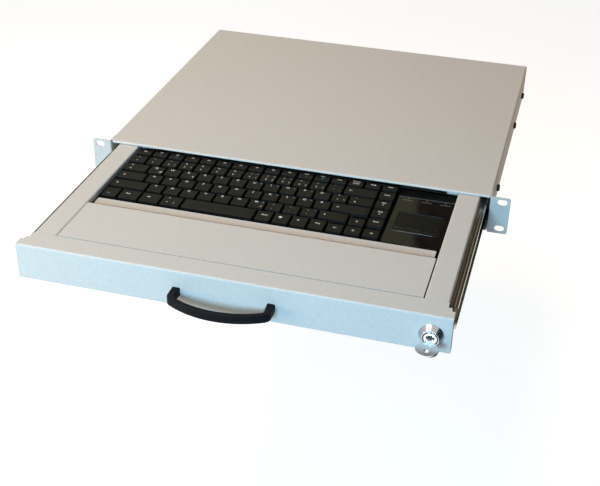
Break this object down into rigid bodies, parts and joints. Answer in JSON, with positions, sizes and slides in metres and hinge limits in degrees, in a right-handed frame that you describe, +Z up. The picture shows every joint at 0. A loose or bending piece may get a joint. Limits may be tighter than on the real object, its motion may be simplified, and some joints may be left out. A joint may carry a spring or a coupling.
{
  "type": "rack keyboard drawer",
  "caption": "Rack-mount drawer on ball slides that carries a keyboard with a touchpad and pulls out of a flat sheet-metal housing by a bow handle; a key lock secures it.",
  "frame": {"origin": "centre of the four rack slots, on the rear face of the ears, which sits on the rack's rails", "axes": "+X to the right seen from the front, +Y into the rack, +Z up"},
  "size_m": [0.4826, 0.6505, 0.044],
  "materials": {
    "housing_paint": "fine-textured warm grey powder coat",
    "drawer_paint": "fine-textured warm grey powder coat",
    "zinc_plate": "bright zinc-plated sheet",
    "zinc_screw": "zinc-plated",
    "black_metal": "black oxide",
    "ball_steel": "polished bearing steel",
    "handle_black": "matte black",
    "lock_chrome": "polished nickel-chrome",
    "key_plastic": "matte black, lightly textured",
    "case_plastic": "matte black",
    "gloss_black": "gloss black",
    "pad_plastic": "satin black",
    "light_guide": "unlit light guide",
    "contact_film": "translucent film, drawn opaque",
    "dome_rubber": "milky silicone",
    "grommet_rubber": "matte black",
    "circuit_board": "green solder mask"
  },
  "bodies": {
    "housing": {"housing_shell": "housing_paint", "bottom_plate": "housing_paint", "bottom_screws": "zinc_screw", "cable_grommet": "grommet_rubber", "lock_catch": "black_metal", "left_outer_rail": "zinc_plate", "right_outer_rail": "zinc_plate", "rail_screws": "black_metal"},
    "drawer": {"contact_sheet": "contact_film", "controller_board": "circuit_board", "dome_sheet": "dome_rubber", "drawer_tray": "drawer_paint", "front_panel": "drawer_paint", "front_support": "zinc_plate", "handle": "handle_black", "handle_screws": "zinc_screw", "inner_rail_screws": "zinc_screw", "keyboard_base": "case_plastic", "keyboard_ledge": "drawer_paint", "keyboard_top_case": "case_plastic", "left_inner_rail": "zinc_plate", "left_keyboard_clip": "drawer_paint", "lock_body": "lock_chrome", "lock_nut": "zinc_plate", "palm_rest": "drawer_paint", "rear_support": "zinc_plate", "right_inner_rail": "zinc_plate", "right_keyboard_clip": "drawer_paint", "status_lights": "light_guide", "touchpad": "pad_plastic", "touchpad_panel": "gloss_black"},
    "left_cage": {"left_ball_cage": "zinc_plate", "left_balls": "ball_steel"},
    "right_cage": {"right_ball_cage": "zinc_plate", "right_balls": "ball_steel"},
    "lock_rotor": {"lock_plug": "lock_chrome", "drawer_key": "lock_chrome", "lock_cam": "zinc_plate", "cam_screw": "zinc_screw"},
    "left_pad_button": {"left_pad_button": "pad_plastic"},
    "right_pad_button": {"right_pad_button": "pad_plastic"},
    "function_keys": {"function_keys": "key_plastic"},
    "number_keys": {"number_keys": "key_plastic"},
    "backspace_key": {"backspace_key": "key_plastic"},
    "navigation_keys": {"navigation_keys": "key_plastic"},
    "tab_key": {"tab_key": "key_plastic"},
    "upper_keys": {"upper_keys": "key_plastic"},
    "caps_lock_key": {"caps_lock_key": "key_plastic"},
    "home_keys": {"home_keys": "key_plastic"},
    "enter_key": {"enter_key": "key_plastic"},
    "left_shift_key": {"left_shift_key": "key_plastic"},
    "lower_keys": {"lower_keys": "key_plastic"},
    "right_shift_key": {"right_shift_key": "key_plastic"},
    "up_arrow_key": {"up_arrow_key": "key_plastic"},
    "left_arrow_key": {"left_arrow_key": "key_plastic"},
    "down_arrow_key": {"down_arrow_key": "key_plastic"},
    "right_arrow_key": {"right_arrow_key": "key_plastic"},
    "left_modifier_keys": {"left_modifier_keys": "key_plastic"},
    "space_bar": {"space_bar": "key_plastic"},
    "right_modifier_keys": {"right_modifier_keys": "key_plastic"}
  },
  "joints": [
    {"name": "drawer_slide", "type": "slide", "parent": "housing", "child": "drawer", "axis": [0, -1, 0], "range_m": [-0.2348, 0.0152]},
    {"name": "left_cage_roll", "type": "slide", "parent": "housing", "child": "left_cage", "axis": [0, -1, 0], "range_m": [-0.1174, 0.0076]},
    {"name": "right_cage_roll", "type": "slide", "parent": "housing", "child": "right_cage", "axis": [0, -1, 0], "range_m": [-0.1174, 0.0076]},
    {"name": "lock_turn", "type": "hinge", "parent": "drawer", "child": "lock_rotor", "pos_m": [0.1977, -0.2348, -0.0022], "axis": [0, -1, 0], "range_deg": [-90, 0]},
    {"name": "left_pad_button_press", "type": "slide", "parent": "drawer", "child": "left_pad_button", "axis": [0, 0, 1], "range_m": [-0.0005, 0], "stiffness_N_per_m": 300, "springref_m": 0.001},
    {"name": "right_pad_button_press", "type": "slide", "parent": "drawer", "child": "right_pad_button", "axis": [0, 0, 1], "range_m": [-0.0005, 0], "stiffness_N_per_m": 300, "springref_m": 0.001},
    {"name": "function_keys_press", "type": "slide", "parent": "drawer", "child": "function_keys", "axis": [0, 0, 1], "range_m": [-0.0025, 0], "stiffness_N_per_m": 2400, "springref_m": 0.0015},
    {"name": "number_keys_press", "type": "slide", "parent": "drawer", "child": "number_keys", "axis": [0, 0, 1], "range_m": [-0.0025, 0], "stiffness_N_per_m": 1950, "springref_m": 0.0015},
    {"name": "backspace_key_press", "type": "slide", "parent": "drawer", "child": "backspace_key", "axis": [0, 0, 1], "range_m": [-0.0025, 0], "stiffness_N_per_m": 150, "springref_m": 0.0015},
    {"name": "navigation_keys_press", "type": "slide", "parent": "drawer", "child": "navigation_keys", "axis": [0, 0, 1], "range_m": [-0.0025, 0], "stiffness_N_per_m": 600, "springref_m": 0.0015},
    {"name": "tab_key_press", "type": "slide", "parent": "drawer", "child": "tab_key", "axis": [0, 0, 1], "range_m": [-0.0025, 0], "stiffness_N_per_m": 150, "springref_m": 0.0015},
    {"name": "upper_keys_press", "type": "slide", "parent": "drawer", "child": "upper_keys", "axis": [0, 0, 1], "range_m": [-0.0025, 0], "stiffness_N_per_m": 1950, "springref_m": 0.0015},
    {"name": "caps_lock_key_press", "type": "slide", "parent": "drawer", "child": "caps_lock_key", "axis": [0, 0, 1], "range_m": [-0.0025, 0], "stiffness_N_per_m": 150, "springref_m": 0.0015},
    {"name": "home_keys_press", "type": "slide", "parent": "drawer", "child": "home_keys", "axis": [0, 0, 1], "range_m": [-0.0025, 0], "stiffness_N_per_m": 1650, "springref_m": 0.0015},
    {"name": "enter_key_press", "type": "slide", "parent": "drawer", "child": "enter_key", "axis": [0, 0, 1], "range_m": [-0.0025, 0], "stiffness_N_per_m": 150, "springref_m": 0.0015},
    {"name": "left_shift_key_press", "type": "slide", "parent": "drawer", "child": "left_shift_key", "axis": [0, 0, 1], "range_m": [-0.0025, 0], "stiffness_N_per_m": 150, "springref_m": 0.0015},
    {"name": "lower_keys_press", "type": "slide", "parent": "drawer", "child": "lower_keys", "axis": [0, 0, 1], "range_m": [-0.0025, 0], "stiffness_N_per_m": 1500, "springref_m": 0.0015},
    {"name": "right_shift_key_press", "type": "slide", "parent": "drawer", "child": "right_shift_key", "axis": [0, 0, 1], "range_m": [-0.0025, 0], "stiffness_N_per_m": 150, "springref_m": 0.0015},
    {"name": "up_arrow_key_press", "type": "slide", "parent": "drawer", "child": "up_arrow_key", "axis": [0, 0, 1], "range_m": [-0.0025, 0], "stiffness_N_per_m": 150, "springref_m": 0.0015},
    {"name": "left_arrow_key_press", "type": "slide", "parent": "drawer", "child": "left_arrow_key", "axis": [0, 0, 1], "range_m": [-0.0025, 0], "stiffness_N_per_m": 150, "springref_m": 0.0015},
    {"name": "down_arrow_key_press", "type": "slide", "parent": "drawer", "child": "down_arrow_key", "axis": [0, 0, 1], "range_m": [-0.0025, 0], "stiffness_N_per_m": 150, "springref_m": 0.0015},
    {"name": "right_arrow_key_press", "type": "slide", "parent": "drawer", "child": "right_arrow_key", "axis": [0, 0, 1], "range_m": [-0.0025, 0], "stiffness_N_per_m": 150, "springref_m": 0.0015},
    {"name": "left_modifier_keys_press", "type": "slide", "parent": "drawer", "child": "left_modifier_keys", "axis": [0, 0, 1], "range_m": [-0.0025, 0], "stiffness_N_per_m": 600, "springref_m": 0.0015},
    {"name": "space_bar_press", "type": "slide", "parent": "drawer", "child": "space_bar", "axis": [0, 0, 1], "range_m": [-0.0025, 0], "stiffness_N_per_m": 150, "springref_m": 0.0015},
    {"name": "right_modifier_keys_press", "type": "slide", "parent": "drawer", "child": "right_modifier_keys", "axis": [0, 0, 1], "range_m": [-0.0025, 0], "stiffness_N_per_m": 600, "springref_m": 0.0015}
  ],
  "couplings": [
    {"joint": "left_cage_roll", "follows": "drawer_slide", "ratio": 0.5},
    {"joint": "right_cage_roll", "follows": "drawer_slide", "ratio": 0.5}
  ]
}
